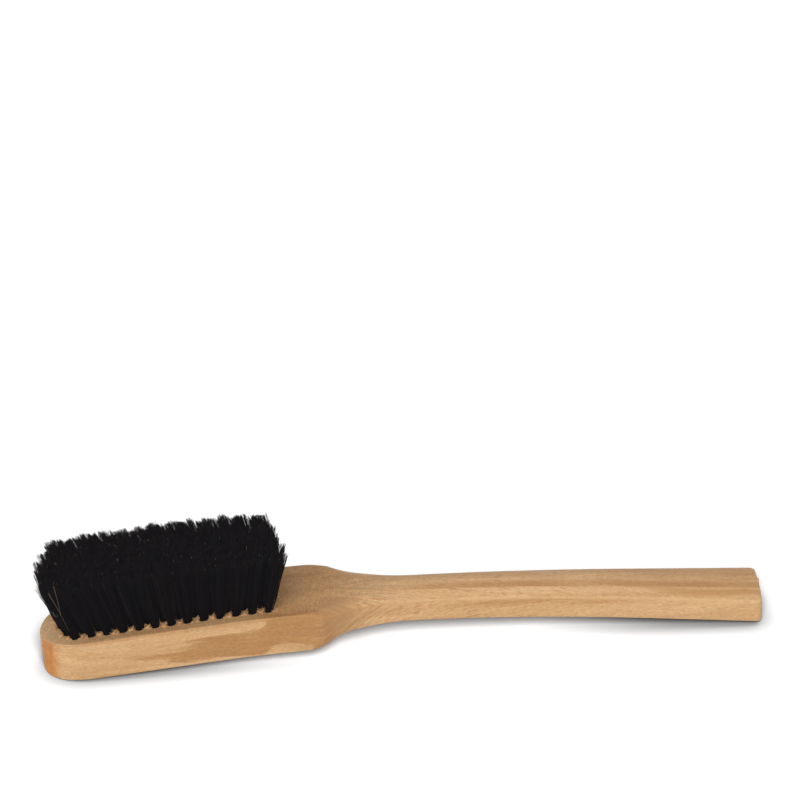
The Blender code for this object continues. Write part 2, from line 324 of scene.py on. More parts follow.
class ClothesBrushHair(bpy.types.PropertyGroup):
    """Amount, sizes and colours of the horsehair."""

    hairs: IntProperty(
        name="Hairs per Tuft", default=360, min=20, max=600,
        description="Hairs standing in each hole",
    )
    locks: IntProperty(
        name="Locks per Tuft", default=11, min=1, max=40,
        description="Bundles that each tuft splits into",
    )
    hair_radius: length("Hair Radius", 0.00011, "Half the thickness of one hair", precision=5)
    root_radius: length("Tuft Radius", 0.0021, "Radius of a tuft where it leaves the wood")
    tip_radius: length("Spread", 0.0056, "Radius of a tuft at the trimmed tips")
    trim_height: length("Trim Height", 0.0322, "Height of the tips above the bristle face")
    black: colour("Black Hair", (0.0022, 0.0019, 0.0025), "Colour of most hairs")
    brown: colour("Brown Hair", (0.022, 0.011, 0.008), "Colour of the lighter hairs")
    pale: colour("Pale Hair", (0.48, 0.34, 0.20), "Colour of the few pale hairs and cut tips")


class ClothesBrushStage(bpy.types.PropertyGroup):
    """Camera, floor and light."""

    distance: length("Camera Distance", 1.0, "From the camera to the brush")
    lens: FloatProperty(name="Lens", default=90.0, description="Focal length in millimetres")
    key_power: FloatProperty(
        name="Key Light", default=27.5, unit="POWER",
        description="Power of the broad light in front",
    )
    sky: FloatProperty(
        name="Sky", default=0.49, description="Strength of the even light from all sides"
    )
    floor_shade: FloatProperty(
        name="Floor", default=0.50, min=0.0, max=1.0,
        description="Brightness of the floor as the brush sees it",
    )
    shadow_reach: length(
        "Contact Shadow", 0.0095, "How far the darkest shadow reaches over the floor"
    )
    shadow_softness: length("Shadow Softness", 0.17, "Radius of the floor's lamp")
    shadow_rise: FloatProperty(
        name="Shadow Light Rise", default=5.5,
        description="Degrees from the viewpoint up to the floor's lamp",
    )
    shadow_turn: FloatProperty(
        name="Shadow Light Turn", default=3.0,
        description="Degrees from the viewpoint round to the floor's lamp",
    )


# Profiles


def blend(a, b, t):
    return a + (b - a) * t


def smooth_step(run, x):
    """0 before the run, 1 after it, with an even curve between them."""
    start, end = run
    t = min(max((x - start) / (end - start), 0.0), 1.0)
    return t * t * (3.0 - 2.0 * t)


def spaced(start, end, count):
    """Count values after start, the last of them at end."""
    return [blend(start, end, (i + 1) / count) for i in range(count)]


def top_height(x):
    """Height of the bristle face, and of the crown behind it, above the ground."""
    z = FRONT_HEIGHT + HEAD_SLOPE * min(x, BEND_START)
    bend = min(max(x - BEND_START, 0.0), CREST - BEND_START)
    z += HEAD_SLOPE * bend * (1.0 - 0.5 * bend / (CREST - BEND_START))
    droop = min(max(x - CREST, 0.0), DROOP_END - CREST)
    z += 0.5 * GRIP_SLOPE * droop * droop / (DROOP_END - CREST)
    return z + GRIP_SLOPE * max(x - DROOP_END, 0.0)


def half_width(size, x):
    """Half width of the wood, past the rounded front of the head."""
    head, neck = size.head_width / 2, size.neck_width / 2
    if x <= HEAD_LENGTH - SHOULDER_EASING:
        return head
    if x <= NECK_END:
        run = NECK_END - HEAD_LENGTH
        t = (x - HEAD_LENGTH) / run
        eased = SHOULDER_EASING / run
        if t < eased:
            narrowed = (t + eased) ** 2 / (4.0 * eased) * (2.0 - eased)
        else:
            narrowed = 1.0 - (1.0 - t) ** 2
        return blend(head, neck, narrowed)
    t = (x - NECK_END) / (LENGTH - NECK_END)
    return blend(neck, size.grip_width / 2, t**GRIP_FLARE_POWER)


def end_outline(size):
    """The corner and the slightly bulging end of the grip, as far as the tip."""
    half = half_width(size, LENGTH - END_CORNER)
    square_end = LENGTH - END_BULGE
    points = []
    for angle in spaced(0.0, math.pi / 2, 12):
        x = square_end - END_CORNER * (1.0 - math.sin(angle))
        points.append((x, half - END_CORNER * (1.0 - math.cos(angle))))
    corner_y = half - END_CORNER
    for y in spaced(corner_y, 0.0, 14):
        points.append((square_end + END_BULGE * (1.0 - (y / corner_y) ** 2), y))
    return points


def half_outline(size):
    """Plan points from the front of the head, along +Y, to the tip of the handle."""
    half = size.head_width / 2
    points = []
    for step in range(FRONT_STEPS + 1):
        angle = step * math.pi / (2 * FRONT_STEPS)
        x = FRONT_DEPTH * (1.0 - math.cos(angle) ** (2.0 / FRONT_FULLNESS))
        points.append((x, half * math.sin(angle) ** (2.0 / FRONT_FULLNESS)))
    corner_start = LENGTH - END_BULGE - END_CORNER
    eased = (HEAD_LENGTH - SHOULDER_EASING, HEAD_LENGTH + SHOULDER_EASING)
    straight = spaced(FRONT_DEPTH, BEND_START, 22) + spaced(BEND_START, eased[0], 32)
    curved = spaced(*eased, 10) + spaced(eased[1], NECK_END, 34)
    curved += spaced(NECK_END, corner_start, 52)
    return points + [(x, half_width(size, x)) for x in straight + curved] + end_outline(size)


def outline_normals(points):
    """Outward plan normal at each point of the half outline."""
    mirrored = [(points[1][0], -points[1][1])] + points + [(points[-2][0], -points[-2][1])]
    normals = []
    for before, after in zip(mirrored, mirrored[2:]):
        along = Vector((after[0] - before[0], after[1] - before[1])).normalized()
        normals.append(Vector((-along.y, along.x)))
    return normals


def crown_point(full, drop, crowned, s):
    """Inset and drop at share s of the way from the flat to the ridge of one face."""
    turn = s * math.pi / 2
    round_inset = full * (1.0 - math.sin(turn))
    round_drop = drop * (1.0 - math.cos(turn))
    shallow_inset = full * (1.0 - s) * (1.0 - CROWN_FULLNESS * s)
    shallow_drop = drop * s - 4.0 * CROWN_BULGE * s * (1.0 - s)
    return (
        blend(round_inset, shallow_inset, crowned),
        blend(round_drop, shallow_drop, crowned),
    )


def edge_profile(full, drop, crowned):
    """Inset and drop of each ring of one face, from the flat strip to the upright side."""
    pairs = [crown_point(full, drop, crowned, s) for s in CROWN_STEPS]
    softness = RIDGE_SHARE * min(drop, full)
    inner = crown_point(full, drop, crowned, 1.0 - 0.5 * softness / full)
    middle = (0.25 * inner[0], 0.25 * inner[1] + 0.75 * drop + 0.25 * softness)
    return pairs + [inner, middle, (0.0, drop + softness)]


def section_rings(size, x):
    """Inset and height of every ring at x, from the middle of the back to that of the face."""
    top = top_height(x)
    thick = blend(size.head_thickness, size.grip_thickness, smooth_step(THINNING, x))
    back = max(top - thick, 0.0)
    flat = blend(GRIP_FLAT, END_FLAT, smooth_step(END_FLAT_RUN, x)) / 2
    crown = half_width(size, x) - flat
    crowned = smooth_step(CROWN_RUN, x)
    face_drop = blend(size.easing, FRONT_ROUND_OVER_AT_SHOULDER, smooth_step(FRONT_DROP_RUN, x))
    face_drop = blend(face_drop, size.round_over, smooth_step(FRONT_DROP_RELIEF, x))
    face_inset = blend(size.easing, crown, smooth_step(FRONT_INSET_RUN, x))
    back_drop = blend(size.easing, BACK_ROUND_OVER_AT_SHOULDER, smooth_step(BACK_DROP_RUN, x))
    back_drop = blend(back_drop, size.round_over, smooth_step(BACK_DROP_RELIEF, x))
    back_inset = blend(size.easing, crown, smooth_step(BACK_INSET_RUN, x))
    lower = [(i, back + d) for i, d in edge_profile(back_inset, back_drop, crowned)]
    upper = [(i, top - d) for i, d in edge_profile(face_inset, face_drop, crowned)]
    middle = [(0.0, (lower[-1][1] + upper[-1][1]) / 2)]
    return lower + middle + upper[::-1]


def wood_point(size, point, normal, ring, side):
    """A vertex of one ring: eased along the plan normal, then drawn towards the middle."""
    x, y = point
    inset, z = section_rings(size, x)[ring]
    half = half_width(size, x)
    inset *= y / half if x > HEAD_LENGTH else 1.0
    near_end = smooth_step(END_ROUNDING_RUN, x)
    eased = min(inset * blend(1.0, END_EASING_SHARE, near_end), size.easing)
    drawn = 0.0
    if x > FRONT_INSET_RUN[0]:
        drawn = (inset - eased) / max(y, size.easing)
    depth = top_height(x) - z
    x -= normal.x * eased + FRONT_SLANT * depth * max(1.0 - x / FRONT_DEPTH, 0.0)
    x -= END_TUCK * near_end * max(2.0 * depth / size.grip_thickness - 1.0, 0.0) ** 2
    y -= normal.y * eased
    return Vector((FRONT_X + x, side * y * max(1.0 - drawn, 0.0), z))


# Modelling helpers


def deselect_all():
    """Leaves edit mode and selects nothing."""
    if bpy.context.mode != "OBJECT":
        bpy.ops.object.mode_set(mode="OBJECT")
    bpy.ops.object.select_all(action="DESELECT")


def select_edges(obj, wanted):
    """In edit mode, selects exactly the edges whose two end points pass the test."""
    mesh = bmesh.from_edit_mesh(obj.data)
    bpy.ops.mesh.select_all(action="DESELECT")
    for edge in mesh.edges:
        edge.select_set(wanted(edge.verts[0].co, edge.verts[1].co))
    bmesh.update_edit_mesh(obj.data)


def apply_modifier(obj, kind, **values):
    """Adds a modifier, sets it, and applies it."""
    modifier = obj.modifiers.new(kind.title(), kind)
    for name, value in values.items():
        setattr(modifier, name, value)
    deselect_all()
    bpy.context.view_layer.objects.active = obj
    bpy.ops.object.modifier_apply(modifier=modifier.name)


def store(mesh, name, values):
    """Keeps one number for every vertex, for a material to read."""
    attribute = mesh.attributes.new(name, "FLOAT", "POINT")
    attribute.data.foreach_set("value", np.asarray(values, np.float32))


def settle(piece, material, slot, *replaced):
    """Gives a piece its finish, and ties it to the frame."""
    piece.data.materials.clear()
    piece.data.materials.append(material)
    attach(piece, "root")
    if replaced:
        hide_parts(*replaced)


# Node helpers


def new_material(name):
    """A material with its node tree and its shader."""
    material = bpy.data.materials.new(name)
    material.use_nodes = True
    return material, material.node_tree, material.node_tree.nodes["Principled BSDF"]


def add(tree, kind, inputs=None, **settings):
    """Adds a shader node, sets its options, and fills its inputs with values or links."""
    node = tree.nodes.new(kind)
    for name, value in settings.items():
        setattr(node, name, value)
    for name, value in (inputs or {}).items():
        if isinstance(value, bpy.types.NodeSocket):
            tree.links.new(value, node.inputs[name])
        else:
            node.inputs[name].default_value = value
    return node


def math_node(tree, operation, a, b=0.0, c=0.0):
    return add(tree, "ShaderNodeMath", {0: a, 1: b, 2: c}, operation=operation).outputs[0]


def product(tree, value, *others):
    """Multiplies the values."""
    for other in others:
        value = math_node(tree, "MULTIPLY", value, other)
    return value


def ramp(tree, value, low, high):
    """Maps a value from low..high to 0..1, with an even curve between them."""
    node = add(
        tree, "ShaderNodeMapRange", {"Value": value, "From Min": low, "From Max": high},
        interpolation_type="SMOOTHSTEP",
    )
    return node.outputs["Result"]


def from_front(tree, x, low, high):
    """Maps a place between two distances from the front of the head to 0..1."""
    return ramp(tree, x, FRONT_X + low, FRONT_X + high)


def between(tree, x, rise, fall):
    """0 before the rise, 1 after it, and 0 again after the fall, which is given backwards."""
    return product(tree, from_front(tree, x, *rise), from_front(tree, x, *fall))


def blend_nodes(tree, factor, a, b):
    """Mixes two values."""
    return add(tree, "ShaderNodeMix", {"Factor": factor, 2: a, 3: b}).outputs[0]


def mix(tree, factor, a, b, mode="MIX"):
    """Mixes two colours."""
    node = add(tree, "ShaderNodeMix", data_type="RGBA", blend_type=mode)
    for socket, value in ((node.inputs[0], factor), (node.inputs[6], a), (node.inputs[7], b)):
        if isinstance(value, bpy.types.NodeSocket):
            tree.links.new(value, socket)
        else:
            socket.default_value = value
    return node.outputs[2]


def tinted(tree, base, value, darkest, lightest, span=(0.3, 0.7)):
    """The colour, made darker or lighter by a value between the two ends of its span."""
    node = add(
        tree, "ShaderNodeMapRange",
        {"Value": value, "From Min": span[0], "From Max": span[1], "To Min": darkest,
         "To Max": lightest},
    )
    grey = add(tree, "ShaderNodeCombineColor", {i: node.outputs["Result"] for i in range(3)})
    return mix(tree, 1.0, base, grey.outputs["Color"], "MULTIPLY")


def opaque(rgb):
    return (*rgb, 1.0)


def scaled(tree, vector, scale, place=(0.0, 0.0, 0.0)):
    node = add(tree, "ShaderNodeMapping", {"Vector": vector, "Location": place, "Scale": scale})
    return node.outputs["Vector"]


def stretched(tree, scale, place=(0.0, 0.0, 0.0)):
    """Object coordinates, scaled differently along and across the grain."""
    return scaled(tree, add(tree, "ShaderNodeTexCoord").outputs["Object"], scale, place)


def noise(tree, vector, detail=3.0, roughness=0.5, distortion=0.0):
    node = add(
        tree, "ShaderNodeTexNoise",
        {"Vector": vector, "Scale": 1.0, "Detail": detail, "Roughness": roughness,
         "Distortion": distortion},
    )
    return node.outputs["Fac"]


def stored(tree, name):
    """A number that the mesh keeps for each of its vertices."""
    return add(tree, "ShaderNodeAttribute", attribute_name=name).outputs["Fac"]


def finish_shader(tree, shader, base, uneven, roughness, specular, relief=None):
    """Links the colour, an uneven roughness between two values, and a fine relief if any."""
    tree.links.new(base, shader.inputs["Base Color"])
    low, high = roughness
    rough = add(tree, "ShaderNodeMapRange", {"Value": uneven, "To Min": low, "To Max": high})
    tree.links.new(rough.outputs["Result"], shader.inputs["Roughness"])
    shader.inputs["Specular IOR Level"].default_value = specular
    if relief is not None:
        bump = add(tree, "ShaderNodeBump", {"Strength": 0.5, "Distance": 0.0001, "Height": relief})
        tree.links.new(bump.outputs["Normal"], shader.inputs["Normal"])


# Materials. Spans along the brush are in metres from the front of the head. Scales are cells of
# noise for each metre along X, Y and Z.


def grain_coordinates(tree, upright):
    """Coordinates in which the fibres run along X, also where the handle narrows.

    Y is the way in from the side on the upper and lower faces, and the way down on the sides, so
    that the lines of the grain meet along the ridges. It returns the plain coordinates too, how
    far below the ridge a point lies, and how far from the ridge on either face.
    """
    place = add(tree, "ShaderNodeTexCoord").outputs["Object"]
    x, y, z = add(tree, "ShaderNodeSeparateXYZ", {"Vector": place}).outputs
    below = math_node(tree, "SUBTRACT", stored(tree, "ridge"), z)
    inward = math_node(tree, "SUBTRACT", stored(tree, "side"), math_node(tree, "ABSOLUTE", y))
    inward = product(tree, inward, ramp(tree, upright, 0.15, 0.45))
    away = math_node(tree, "ADD", inward, math_node(tree, "MAXIMUM", below, 0.0))
    across = math_node(tree, "ADD", away, stored(tree, "drift"))
    fibres = add(tree, "ShaderNodeCombineXYZ", {"X": x, "Y": across, "Z": product(tree, z, 0.15)})
    return (x, y, z), below, away, fibres.outputs["Vector"]


def year_rings(tree, place, below):
    """1 in the late wood of each year ring, round a heart that follows the bent handle."""
    x, y, _ = place
    risen = from_front(tree, x, *FIGURE_RISE)
    heart_depth = math_node(tree, "MULTIPLY_ADD", risen, -HEART_LIFT, RING_HEART[1])
    heart = add(
        tree, "ShaderNodeCombineXYZ",
        {"Y": math_node(tree, "SUBTRACT", y, RING_HEART[0]),
         "Z": math_node(tree, "SUBTRACT", below, heart_depth)},
    )
    radius = add(tree, "ShaderNodeVectorMath", {0: heart.outputs[0]}, operation="LENGTH")
    slow = noise(tree, stretched(tree, (26.0, 70.0, 230.0)), detail=4.0, roughness=0.6)
    depth = math_node(tree, "MULTIPLY_ADD", slow, RING_WARP, radius.outputs["Value"])
    depth = math_node(tree, "MULTIPLY_ADD", x, -RING_TILT, depth)
    start = RING_HEART[0] + WOOD_HALF + 0.5 * RING_WARP - RING_TILT * (FRONT_X + FIGURE_START)
    rings = product(tree, math_node(tree, "SUBTRACT", depth, start), 1.0 / RING_WIDTH)
    phase = math_node(tree, "FRACT", rings)
    late = product(tree, ramp(tree, phase, 0.66, 0.90), ramp(tree, phase, 1.0, 0.990))
    on_side = between(tree, x, (0.3 * FIGURE_START, FIGURE_START), (0.165, 0.145))
    on_crown = from_front(tree, x, 0.150, 0.230)
    on_far_shoulder = from_front(tree, x, 0.160, 0.140)
    shown = blend_nodes(tree, ramp(tree, y, 0.003, 0.009), on_crown, on_far_shoulder)
    shown = blend_nodes(tree, ramp(tree, y, -0.012, -0.008), on_side, shown)
    patchy = noise(tree, stretched(tree, (24.0, 60.0, 60.0), (3.0, 0.0, 0.0)), detail=1.0)
    return product(tree, late, shown, ramp(tree, patchy, 0.15, 0.60))


def rays(tree, fibres, x):
    """Short reddish dashes along the fibres, in loose groups, and denser on the handle."""
    dashes = noise(tree, scaled(tree, fibres, (230.0, 1300.0, 1300.0)), detail=1.0)
    groups = noise(tree, scaled(tree, fibres, (40.0, 160.0, 160.0), (0.0, 7.0, 0.0)), detail=1.0)
    level = math_node(tree, "MULTIPLY_ADD", groups, 0.25, math_node(tree, "SUBTRACT", dashes, 0.125))
    handle = from_front(tree, x, HEAD_LENGTH - 0.02, HEAD_LENGTH + 0.01)
    strength = math_node(tree, "MULTIPLY_ADD", handle, 0.45, 0.25)
    end = from_front(tree, x, 0.230, 0.300)
    strength = product(tree, strength, math_node(tree, "MULTIPLY_ADD", end, -0.5, 1.0))
    return product(tree, ramp(tree, level, 0.59, 0.68), strength)


def end_grain(tree, base, lengthways, x):
    """Pale speckled corner at the front, darker end grain in front and where the neck starts."""
    speckle = noise(tree, stretched(tree, (1800.0, 1800.0, 420.0)), detail=2.0)
    front = product(tree, lengthways, -1.0)
    corner = product(tree, ramp(tree, front, 0.05, 0.30), ramp(tree, front, 0.68, 0.50))
    base = mix(tree, corner, base, tinted(tree, base, speckle, 0.96, 1.20))
    stripes = noise(tree, stretched(tree, (1400.0, 1400.0, 90.0)), detail=2.0)
    dark = tinted(tree, base, speckle, 0.82, 1.08)
    dark = tinted(tree, dark, stripes, 0.86, 1.12)
    orange = mix(tree, 1.0, dark, (0.98, 0.65, 0.32, 1.0), "MULTIPLY")
    shoulder = product(
        tree, ramp(tree, lengthways, 0.25, 0.50), from_front(tree, x, NECK_END, 0.150), 0.22
    )
    return mix(tree, math_node(tree, "ADD", ramp(tree, front, 0.42, 0.70), shoulder), base, orange)


def sawn_face(tree, base, sawn):
    """The coarse face that the tufts stand in, mottled by the saw marks and mixed a little with a
    plain brown.
    """
    span = (0.32, 0.68)
    coarse = tinted(tree, base, sawn, 0.76, 1.22, span)
    plain_brown = tinted(tree, (0.60, 0.37, 0.19, 1.0), sawn, 0.7, 1.3, span)
    return mix(tree, 0.35, coarse, plain_brown)


def end_streak(tree, place):
    """A brown streak along the near edge of the flat, which leaves it towards the end."""
    x, y, _ = place
    wave = noise(tree, stretched(tree, (60.0, 500.0, 0.0)), detail=4.0, roughness=0.65)
    drop = product(tree, from_front(tree, x, 0.275, 0.328), 0.0100)
    across = math_node(tree, "MULTIPLY_ADD", wave, 0.004, math_node(tree, "ADD", y, drop))
    band = product(tree, ramp(tree, across, -0.0040, 0.0005), ramp(tree, across, 0.0030, 0.0012))
    return product(tree, band, from_front(tree, x, 0.255, 0.325), 0.65)


def hollow_figure_and_painted_shade(tree, place, below):
    """Darker patch where the near side narrows to the neck: partly heartwood, partly painted shade."""
    x, y, _ = place
    patch = between(tree, x, (0.143, 0.149), (0.166, 0.154))
    upper = product(tree, ramp(tree, below, 0.013, 0.006), ramp(tree, y, -0.008, -0.015))
    return product(tree, patch, upper, 0.7)


def tone_and_painted_light(tree, place, upright, face):
    """Paler along the handle, with painted shade and painted light on parts of it."""
    x, y, _ = place
    handle = from_front(tree, x, 0.150, 0.185)
    end = from_front(tree, x, 0.250, 0.330)
    lighter = mix(tree, end, (1.09, 1.11, 1.14, 1.0), (1.05, 1.06, 1.07, 1.0))
    tone = mix(tree, handle, (1.0, 1.0, 1.0, 1.0), lighter)
    # Painted shade: the far half of the handle, which faces away from the light, is made darker and
    # greyer.
    far = product(tree, ramp(tree, y, -0.001, 0.006), handle)
    tone = mix(tree, far, tone, (0.91, 0.88, 0.85, 1.0))
    # Painted light: the near slope of the crown, which faces the light, is made paler.
    near = product(tree, ramp(tree, y, -0.006, -0.010), ramp(tree, upright, 0.5, 0.8))
    near = product(tree, near, between(tree, x, (0.190, 0.250), (0.340, 0.310)))
    tone = mix(tree, near, tone, (1.16, 1.22, 1.32, 1.0))
    # Painted shade: the face behind the tufts is made browner where the hair shades it.
    behind = between(tree, x, (0.105, 0.125), (0.175, 0.140))
    return mix(tree, product(tree, behind, face), tone, (0.82, 0.73, 0.61, 1.0))


def beech_material(colours):
    """Sanded beech: year rings, streaks and rays along the grain, end grain and saw marks."""
    material, tree, shader = new_material("sanded_beech")
    facing = add(tree, "ShaderNodeNewGeometry").outputs["Normal"]
    facing = add(tree, "ShaderNodeSeparateXYZ", {"Vector": facing}).outputs
    upright = math_node(tree, "ABSOLUTE", facing["Z"])
    place, below, away, fibres = grain_coordinates(tree, upright)
    x = place[0]
    beech, sapwood, heartwood = map(opaque, (colours.beech, colours.sapwood, colours.heartwood))
    broad = noise(tree, stretched(tree, (9.0, 90.0, 130.0), (5.0, 2.0, 1.0)), detail=2.0)
    base = mix(tree, ramp(tree, broad, 0.45, 0.75), beech, sapwood)
    base = mix(tree, ramp(tree, broad, 0.46, 0.20), base, heartwood)
    base = mix(tree, year_rings(tree, place, below), base, heartwood)
    streaks = noise(tree, scaled(tree, fibres, (30.0, 700.0, 700.0)), detail=3.0, roughness=0.6)
    base = tinted(tree, base, streaks, 0.91, 1.07)
    turning = between(tree, x, (0.136, 0.150), (0.200, 0.170))
    base = mix(tree, turning, base, tinted(tree, base, streaks, 0.80, 1.06, (0.36, 0.64)))
    speckle = noise(tree, scaled(tree, fibres, (520.0, 1500.0, 1500.0)), detail=3.0)
    base = tinted(tree, base, speckle, 0.86, 1.12)
    base = mix(tree, rays(tree, fibres, x), base, opaque(colours.fleck))
    base = end_grain(tree, base, facing["X"], x)
    face = ramp(tree, facing["Z"], 0.90, 0.99)
    sawn = stretched(tree, (1300.0, 420.0, 420.0))
    sawn = noise(tree, sawn, detail=4.0, roughness=0.7, distortion=0.6)
    unsanded = math_node(tree, "MULTIPLY_ADD", from_front(tree, x, HEAD_LENGTH, NECK_END), -0.7, 1.0)
    base = mix(tree, product(tree, face, unsanded), base, sawn_face(tree, base, sawn))
    base = mix(tree, end_streak(tree, place), base, heartwood)
    # Paler handle, with painted shade behind the tufts and on its far half, painted light on its near
    # slope.
    base = mix(tree, 1.0, base, tone_and_painted_light(tree, place, upright, face), "MULTIPLY")
    # Darker where the head narrows to the neck: partly heartwood, partly painted shade in the hollow.
    base = mix(tree, hollow_figure_and_painted_shade(tree, place, below), base, (0.44, 0.245, 0.108, 1.0))
    # Ridges: a darker line on the head; on the handle a paler one, partly wear, partly painted
    # highlight.
    handle = from_front(tree, x, HEAD_LENGTH + 0.016, NECK_END)
    edge_wear_and_painted_highlight = product(tree, ramp(tree, away, 0.0009, 0.0), 0.5)
    base = mix(tree, edge_wear_and_painted_highlight, base, mix(tree, handle, heartwood, sapwood))
    relief = math_node(tree, "MULTIPLY_ADD", speckle, 0.5, product(tree, face, sawn))
    finish_shader(tree, shader, base, streaks, (0.50, 0.72), 0.3, relief)
    return material


def fibre_material_with_painted_light(colours):
    """Torn beech, paler and more orange than the sanded faces: partly fresh wood, partly painted
    light.
    """
    material, tree, shader = new_material("torn_beech")
    grain = noise(tree, stretched(tree, (900.0, 2600.0, 1800.0)), detail=3.0)
    torn = mix(tree, 0.55, opaque(colours.sapwood), (0.98, 0.58, 0.30, 1.0))
    torn = mix(tree, ramp(tree, grain, 0.35, 0.7), torn, opaque(colours.beech))
    finish_shader(tree, shader, torn, grain, (0.60, 0.85), 0.2, grain)
    return material


def hair_material(colours):
    """Horsehair: near-black, with some brown and few pale hairs, and pale cut tips."""
    material, tree, shader = new_material("horsehair")
    black, brown, pale = map(opaque, (colours.black, colours.brown, colours.pale))
    shade = stored(tree, "shade")
    base = mix(tree, ramp(tree, shade, 0.80, 0.985), black, brown)
    tip = ramp(tree, stored(tree, "along"), 0.955, 0.985)
    tip = product(tree, tip, ramp(tree, shade, 0.9945, 0.996), 0.35)
    base = mix(tree, tip, base, pale)
    loose = product(tree, ramp(tree, shade, 0.9994, 0.9998), 0.5)
    base = mix(tree, loose, base, pale)
    streak = noise(tree, stretched(tree, (9000.0, 9000.0, 500.0)), detail=1.0)
    base = tinted(tree, base, streak, 0.75, 1.1)
    finish_shader(tree, shader, base, streak, (0.45, 0.70), 0.06)
    # Painted light: a faint glow of the hair itself, in place of light scattered back inside the dense
    # hair.
    shader.inputs["Emission Color"].default_value = (0.92, 0.86, 1.0, 1.0)
    shader.inputs["Emission Strength"].default_value = SCATTERED_LIGHT
    return material


# Wood


def extruded_rings(name, count):
    """A plain tube of rings, one above the other, closed by strips across its two ends."""
    deselect_all()
    bpy.ops.mesh.primitive_circle_add(vertices=count, radius=TUBE_RADIUS, fill_type="NOTHING")
    obj = bpy.context.active_object
    obj.name = obj.data.name = name
    bpy.ops.object.mode_set(mode="EDIT")
    bpy.ops.mesh.select_all(action="SELECT")
    for _ in range(RING_COUNT - 1):
        bpy.ops.mesh.extrude_edges_move(TRANSFORM_OT_translate={"value": (0.0, 0.0, RING_STEP)})
    bpy.ops.mesh.select_mode(type="EDGE")
    for level in (0.0, (RING_COUNT - 1) * RING_STEP):
        cap_with_strips(obj, level)
    bpy.ops.object.mode_set(mode="OBJECT")
    return obj


def cap_with_strips(obj, level):
    """Bridges the two sides of the ring at this level, then closes its two ends."""
    nearly = RING_STEP / 100

    def on_ring(co):
        return abs(co.z - level) < nearly

    def off_axis(a, b):
        return on_ring(a) and on_ring(b) and min(abs(a.y), abs(b.y)) > nearly

    select_edges(obj, off_axis)
    bpy.ops.mesh.bridge_edge_loops()
    for side in (-1.0, 1.0):

        def open_end(a, b):
            at_end = max(side * a.x, side * b.x) > TUBE_RADIUS - nearly
            return on_ring(a) and on_ring(b) and at_end

        select_edges(obj, open_end)
        bpy.ops.mesh.edge_face_add()


def shape_wood(obj, size):
    """Moves every vertex of the plain tube to its place on the head and handle."""
    points = half_outline(size)
    normals = outline_normals(points)
    last = len(points) - 1
    for vertex in obj.data.vertices:
        ring = round(vertex.co.z / RING_STEP)
        turn = math.atan2(vertex.co.y, -vertex.co.x)
        index = round(abs(turn) / math.pi * last)
        side = 1.0 if turn >= 0.0 else -1.0
        vertex.co = wood_point(size, points[index], normals[index], ring, side)


def grain_drift():
    """How far the lines of the grain have slanted at each place along the handle."""
    xs = np.linspace(0.0, LENGTH, 400)
    start, end = SLANT_RUN
    handle = np.clip((xs - start) / (end - start), 0.0, 1.0)
    fading = np.exp(-np.maximum(xs - end, 0.0) / SLANT_FADE)
    slant = handle * (GRAIN_SLANT + SHOULDER_SLANT * fading)
    return xs, np.cumsum(slant) * (xs[1] - xs[0])


def store_grain(wood, size):
    """Stores for the grain where the side is, where its upper edge is and how lines slant."""
    xs, drifts = grain_drift()
    places = [min(max(v.co.x - FRONT_X, 0.0), LENGTH) for v in wood.data.vertices]
    upper_edge = RING_COUNT - len(CROWN_STEPS) - 3
    store(wood.data, "side", [half_width(size, x) for x in places])
    store(wood.data, "ridge", [section_rings(size, x)[upper_edge][1] for x in places])
    store(wood.data, "drift", np.interp(places, xs, drifts))


def tuft_places():
    """Row number, place in the row, root and tip of every tuft, in the frame."""
    places = []
    for row, offset in enumerate(ROW_OFFSETS):
        count = round((LAST_TUFTS[row] - FIRST_TUFTS[row]) / TUFT_PITCH)
        for i in range(count + 1):
            root_x = blend(FIRST_TUFTS[row], LAST_TUFTS[row], i / count)
            tip_x = blend(FIRST_TIPS[row], LAST_TIPS[row], i / count)
            places.append((row, i, (root_x, offset), (tip_x, TIP_OFFSETS[row])))
    return places


def drill_holes(wood, size):
    """Cuts one blind hole for each tuft, leaning the way the tuft leans."""
    deselect_all()
    drill = None
    for _, _, root, tip in tuft_places():
        lean = Vector((tip[0] - root[0], tip[1] - root[1], TUFT_LEAN)).normalized()
        turn = lean.to_track_quat("Z", "Y").to_euler()
        centre = Vector((FRONT_X + root[0], root[1], top_height(root[0])))
        bpy.ops.mesh.primitive_cylinder_add(
            vertices=HOLE_SIDES, radius=size.hole_radius, depth=HOLE_DEPTH, location=centre,
            rotation=turn,
        )
        if drill is None:
            drill = bpy.context.active_object
            bpy.ops.object.transform_apply(location=True, rotation=True)
            bpy.ops.object.mode_set(mode="EDIT")
    bpy.ops.object.mode_set(mode="OBJECT")
    apply_modifier(wood, "BOOLEAN", operation="DIFFERENCE", solver="EXACT", object=drill)
    bpy.data.objects.remove(drill, do_unlink=True)


class CLOTHESBRUSH_OT_wood(bpy.types.Operator):
    """Make the beech head and handle, with a drilled hole for each tuft"""

    bl_idname = "clothes_brush.wood"
    bl_label = "Head and Handle"
    bl_options = {"REGISTER", "UNDO"}

    def execute(self, context):
        size = context.scene.clothes_brush_wood
        wood = extruded_rings("beech_head_and_handle", 2 * (len(half_outline(size)) - 1))
        shape_wood(wood, size)
        deselect_all()
        wood.select_set(True)
        context.view_layer.objects.active = wood
        bpy.ops.object.mode_set(mode="EDIT")
        bpy.ops.mesh.select_all(action="SELECT")
        bpy.ops.mesh.normals_make_consistent(inside=False)
        bpy.ops.object.mode_set(mode="OBJECT")
        drill_holes(wood, size)
        store_grain(wood, size)
        deselect_all()
        wood.select_set(True)
        context.view_layer.objects.active = wood
        bpy.ops.object.shade_smooth_by_angle(angle=SMOOTH_ANGLE)
        settle(wood, beech_material(size), "beech", "head_and_handle")
        return {"FINISHED"}


# Horsehair


